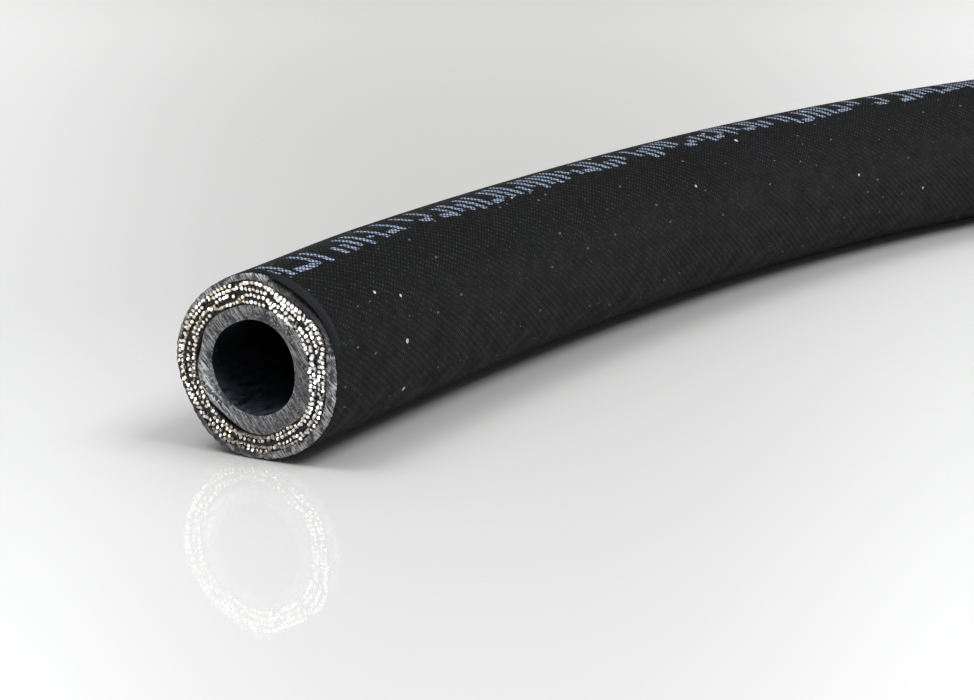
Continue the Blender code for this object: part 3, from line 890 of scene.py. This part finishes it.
def finely_cut(section, longest=0.6):
    """The section with points added, so that no side is longer than the given length."""
    section = np.array(section)
    fine = []
    for start, end in zip(section, np.roll(section, -1, axis=0)):
        steps = max(1, math.ceil(np.linalg.norm(end - start) / longest))
        fine += [start + (end - start) * step / steps for step in range(steps)]
    return np.array(fine)


def flats_limit(angle, count, flat_to_axis):
    half = math.pi / count
    return flat_to_axis / np.cos((angle + half) % (2 * half) - half)


def fitting_points(along, angle, radius):
    """Points in metres at distances along the fitting's axis, clock angles seen down the hose, and radii."""
    along, angle, radius = np.broadcast_arrays(along, angle, radius)
    x, y, z = FITTING_MOUTH
    points = np.stack([x + along, y - radius * np.sin(angle), z + radius * np.cos(angle)], axis=-1)
    return points * MM


def lathe(section, sides, shaped=None):
    """A ring-shaped solid turned from a closed section of (distance, radius) points."""
    section = np.asarray(section)
    angle = full_turn(sides)[None, :]
    along, radius = section[:, :1], section[:, 1:] + 0 * angle
    if shaped is not None:
        radius = shaped(along, angle, radius)
    points = fitting_points(along, angle, radius).reshape(-1, 3)
    mesh = bpy.data.meshes.new("turned")
    mesh.from_pydata(points.tolist(), [], grid_faces(len(section), sides, closed=True).tolist())
    return mesh


def make_ferrule(body):
    inside = []
    for end in (26.5, 19.5, 12.5):
        inside += [(end, 9.3), (end - 0.5, 9.8), (end - 2.5, 9.8), (end - 3.0, 9.3)]
    outside = [(0.0, 10.1), (0.0, 11.5), (0.6, 12.0), (2.6, 12.0), (4.5, 11.35), (25.6, 11.35), (27.4, 12.0)]
    shell = [*outside, (30.3, 12.0), (31.0, 11.4), (31.0, 5.9), (29.0, 5.9), (29.0, 9.3), *inside, (4.5, 9.3)]

    def pressed(along, angle, radius):
        """Eight flats from the crimping jaws, with a fine ridge squeezed out between each two."""
        flat = flats_limit(angle, FERRULE_FLATS, FERRULE_FLAT_TO_AXIS)
        ridge = 0.12 * (np.cos(FERRULE_FLATS * angle) < -0.985)
        squeezed_r = np.minimum(radius, np.minimum(flat, 11.28) + ridge)
        share = smooth_step(along, CRIMP_START - 0.2, CRIMP_START + 0.2)
        share = share * (1 - smooth_step(along, CRIMP_END - 0.2, CRIMP_END + 0.2))
        return np.where(radius > 10.5, radius + (squeezed_r - radius) * share, radius)

    mesh = lathe(finely_cut(softened(shell)), 192, pressed)
    return placed_piece("ferrule_shell", mesh, [STEEL], body, "crimp_ferrule", 32)


def make_insert(body):
    tail = [(1.5, 3.5), (1.5, 3.9), (2.3, 4.45)]
    for barb in (6.0, 13.0, 20.0):
        tail += [(barb, 4.45), (barb + 0.3, 4.15), (barb + 2.5, 4.15), (barb + 2.8, 4.45)]
    cone = math.tan(math.radians(12))
    shoulder = [(27.4, 4.45), (27.4, 6.9), (28.7, 6.9), (28.7, 5.6), (31.4, 5.6), (31.4, 8.0), (33.2, 8.0)]
    neck = [(33.6, 7.6), (33.6, 6.0), (36.2, 6.0), (36.2, 6.9), (36.5, 7.2), (38.6, 7.2)]
    groove = [(38.75, 6.87), (39.1, 6.54), (39.5, 6.45), (39.9, 6.54), (40.25, 6.87), (40.4, 7.2)]
    nose = [(43.0, 7.2), (43.0, 6.9), (45.9, 6.9 - 2.9 * cone), (45.9, 4.45), (47.9, 4.45)]
    nose += [(47.9, 6.9 - 4.9 * cone), (50.6, 6.9 - 7.6 * cone), (50.8, 6.9 - 7.8 * cone - 0.2)]
    bore = [(50.8, 3.7), (50.4, 3.5)]
    section = finely_cut(softened([*tail, *shoulder, *neck, *groove, *nose, *bore], 0.12), 2.0)
    mesh = lathe(section, 128)
    return placed_piece("insert_stem", mesh, [STEEL], body, "hose_insert", 32)


def thread_radius(along, angle, radius):
    """A right-handed V thread inside the nut."""
    phase = (along / THREAD_PITCH - angle / (2 * math.pi)) % 1
    height = np.clip(1.25 * (1 - np.abs(2 * phase - 1)) - 0.1, 0, 1)
    cut = smooth_step(along, THREAD_START, THREAD_START + 0.5)
    cut = cut * (1 - smooth_step(along, THREAD_END - 0.5, THREAD_END + 0.2))
    bore = THREAD_MINOR_R + (THREAD_MAJOR_R - THREAD_MINOR_R) * height * cut
    inside = (along > THREAD_START) & (along < THREAD_END) & (radius < THREAD_MAJOR_R)
    return np.where(inside, bore, radius)


def nut_radius(along, angle, radius):
    hexagon = flats_limit(angle, NUT_FLATS, NUT_FLAT_TO_AXIS)
    return thread_radius(along, angle, np.where(radius > 10.0, np.minimum(radius, hexagon), radius))


def make_nut(body):
    outside = [(NUT_START, 8.0), (NUT_START, 10.4)]
    outside += [(NUT_START + 1.2 * share, 10.4 + 2.1 * share) for share in np.linspace(0.05, 1, 20)]
    outside += [(NUT_END - 1.2 + 1.2 * share, 12.5 - 1.9 * share) for share in np.linspace(0, 1, 20)]
    mouth = [(NUT_END, 9.4), (54.1, 8.35)]
    thread = [(along, THREAD_MINOR_R) for along in np.arange(THREAD_END, THREAD_START, -0.125)]
    relief = [(45.9, 9.2), (44.2, 9.2), (43.4, 7.5), (40.39, 7.5)]
    groove = [(40.25, 7.84), (39.9, 8.16), (39.5, 8.25), (39.1, 8.16), (38.75, 7.84), (38.61, 7.5)]
    section = [*outside, *mouth, *thread, *relief, *groove, (35.5, 7.5)]
    mesh = lathe(section, 144, nut_radius)
    return placed_piece("nut_hexagon", drilled(mesh), [STEEL], body, "swivel_nut", 24)


def drilled(mesh):
    """The nut with the drilling for its thrust wire through the flat on top."""
    bm = bmesh.new()
    bm.from_mesh(mesh)
    bmesh.ops.recalc_face_normals(bm, faces=bm.faces)
    bm.to_mesh(mesh)
    bm.clear()
    x, y, z = FITTING_MOUTH
    where = Matrix.Translation(np.array([x + WIRE_HOLE_AT, y, z + NUT_FLAT_TO_AXIS]) * MM)
    ends = {"radius1": WIRE_HOLE_R * MM, "radius2": WIRE_HOLE_R * MM}
    bmesh.ops.create_cone(bm, cap_ends=True, segments=40, depth=6 * MM, matrix=where, **ends)
    drill_mesh = bpy.data.meshes.new("drill")
    bm.to_mesh(drill_mesh)
    bm.free()
    blank = bpy.data.objects.new("blank", mesh)
    drill = bpy.data.objects.new("drill", drill_mesh)
    for thing in (blank, drill):
        bpy.context.scene.collection.objects.link(thing)
    cut = blank.modifiers.new("wire_hole", "BOOLEAN")
    cut.operation = "DIFFERENCE"
    cut.object = drill
    done = bpy.data.meshes.new_from_object(blank.evaluated_get(bpy.context.evaluated_depsgraph_get()))
    bpy.data.objects.remove(blank)
    bpy.data.objects.remove(drill)
    return done


def make_thrust_wire(body):
    """An open ring of spring wire, its gap at the nut's drilling."""
    steps, sides, gap = 96, 16, math.radians(25)
    angle = (gap / 2 + (2 * math.pi - gap) * np.arange(steps + 1) / steps)[:, None]
    turn = (2 * math.pi * np.arange(sides) / sides)[None, :]
    along = WIRE_HOLE_AT + THRUST_WIRE_R * np.sin(turn)
    radius = THRUST_WIRE_MEAN_R + THRUST_WIRE_R * np.cos(turn)
    points = fitting_points(along, angle, radius).reshape(-1, 3)
    faces = grid_faces(steps + 1, sides, closed=False).tolist()
    faces += [list(range(sides)), [steps * sides + k for k in range(sides)]]
    mesh = bpy.data.meshes.new("thrust_wire")
    mesh.from_pydata(points.tolist(), [], faces)
    material = spring_steel_material()
    return placed_piece("thrust_wire_ring", mesh, [material], body, "thrust_wire", 50)


def make_o_ring(body):
    turn = 2 * math.pi * np.arange(24) / 24
    along = O_RING_AT + O_RING_THICK_R * np.cos(turn)
    radius = O_RING_MEAN_R + O_RING_THICK_R * np.sin(turn)
    mesh = lathe(np.stack([along, radius], axis=-1), 96)
    return placed_piece("o_ring", mesh, [seal_material()], body, "cone_o_ring", 60)


# ---------------------------------------------------------------- stage

def make_floor():
    bm = bmesh.new()
    bmesh.ops.create_grid(bm, x_segments=8, y_segments=8, size=4.0)
    mesh = bpy.data.meshes.new("floor")
    bm.to_mesh(mesh)
    bm.free()
    mesh.materials.append(floor_material())
    floor = bpy.data.objects.new("floor", mesh)
    floor.location = (0, 0, -0.00002)
    bpy.context.scene.collection.objects.link(floor)


def make_world():
    """A studio lit from above. A low pale band round it gleams in the floor at the back. Between the two
    it is dark, so that the floor in front mirrors little. The camera itself sees it pale."""
    world = bpy.data.worlds.new("studio")
    world.use_nodes = True
    sky = world.node_tree.nodes["Background"]
    sky.inputs["Color"].default_value = (0.99, 0.995, 0.985, 1.0)
    nodes = Tree(world.node_tree)
    _, _, height = nodes.split(nodes.add("ShaderNodeTexCoord", {}, output="Generated"))
    brightest = nodes.times(nodes.add("ShaderNodeLightPath", {}, output="Is Camera Ray"), 0.75)
    for low, high, at_low, at_high in WORLD_BANDS:
        brightest = nodes.math("MAXIMUM", brightest, nodes.fit(height, low, high, at_low, at_high))
    nodes.tree.links.new(brightest, sky.inputs["Strength"])
    bpy.context.scene.world = world


def make_softbox(name, position, target, size, power, lights_matt=True):
    """A soft lamp that faces its target. One with lights_matt off only gleams on what is glossy."""
    light = bpy.data.lights.new(name, "AREA")
    light.shape = "RECTANGLE"
    light.size, light.size_y = size
    light.energy = power
    lamp = bpy.data.objects.new(name, light)
    lamp.location = position
    look = Matrix.Translation(position).to_translation() - Matrix.Translation(target).to_translation()
    lamp.rotation_euler = look.to_track_quat("Z", "Y").to_euler()
    lamp.visible_diffuse = lights_matt
    bpy.context.scene.collection.objects.link(lamp)


def make_camera():
    data = bpy.data.cameras.new("camera")
    data.lens = LENS
    data.sensor_width = SENSOR_WIDTH
    data.clip_start = 0.01
    camera = bpy.data.objects.new("camera", data)
    cut_on_floor = CUT_CENTRE * (1, 1, 0)
    camera.location = (cut_on_floor + np.array(CAMERA_FROM_CUT)) * MM
    camera.rotation_euler = (math.radians(90 - CAMERA_DOWN), 0, math.radians(CAMERA_TURN))
    bpy.context.scene.collection.objects.link(camera)
    bpy.context.scene.camera = camera


def make_stage():
    make_floor()
    make_world()
    cut = (-0.139, -0.138, 0.01)
    make_softbox("key_left", (-0.45, -0.40, 1.10), (-0.12, -0.05, 0.0), (0.5, 0.5), 5.0)
    make_softbox("key_right", (0.50, -0.05, 0.95), (-0.10, 0.0, 0.0), (0.5, 0.5), 6.8)
    make_softbox("front_left", (-0.46, -0.61, 0.21), cut, (0.24, 0.16), 3.7, lights_matt=False)
    make_softbox("right_behind", (0.50, 0.22, 0.20), (-0.05, 0.0, 0.0), (0.3, 0.3), 4.4, lights_matt=False)
    make_camera()
    bpy.context.scene.view_settings.view_transform = "Standard"


make_stage()
hose = "hose_body"
nut = "nut_body"
cover = make_cover(hose)
liner = make_liner(hose)
insulation = make_insulation(hose)
wire_materials = [wire_material(), wire_end_material()]
inner_braid = make_braid("inner", INNER_BRAID_R, INNER_BAND_WIRES, hose, wire_materials)
outer_braid = make_braid("outer", OUTER_BRAID_R, OUTER_BAND_WIRES, hose, wire_materials)
declare_cord()
STEEL = plated_steel_material()
make_ferrule(hose)
make_insert(hose)
make_o_ring(hose)
make_nut(nut)
make_thrust_wire(nut)
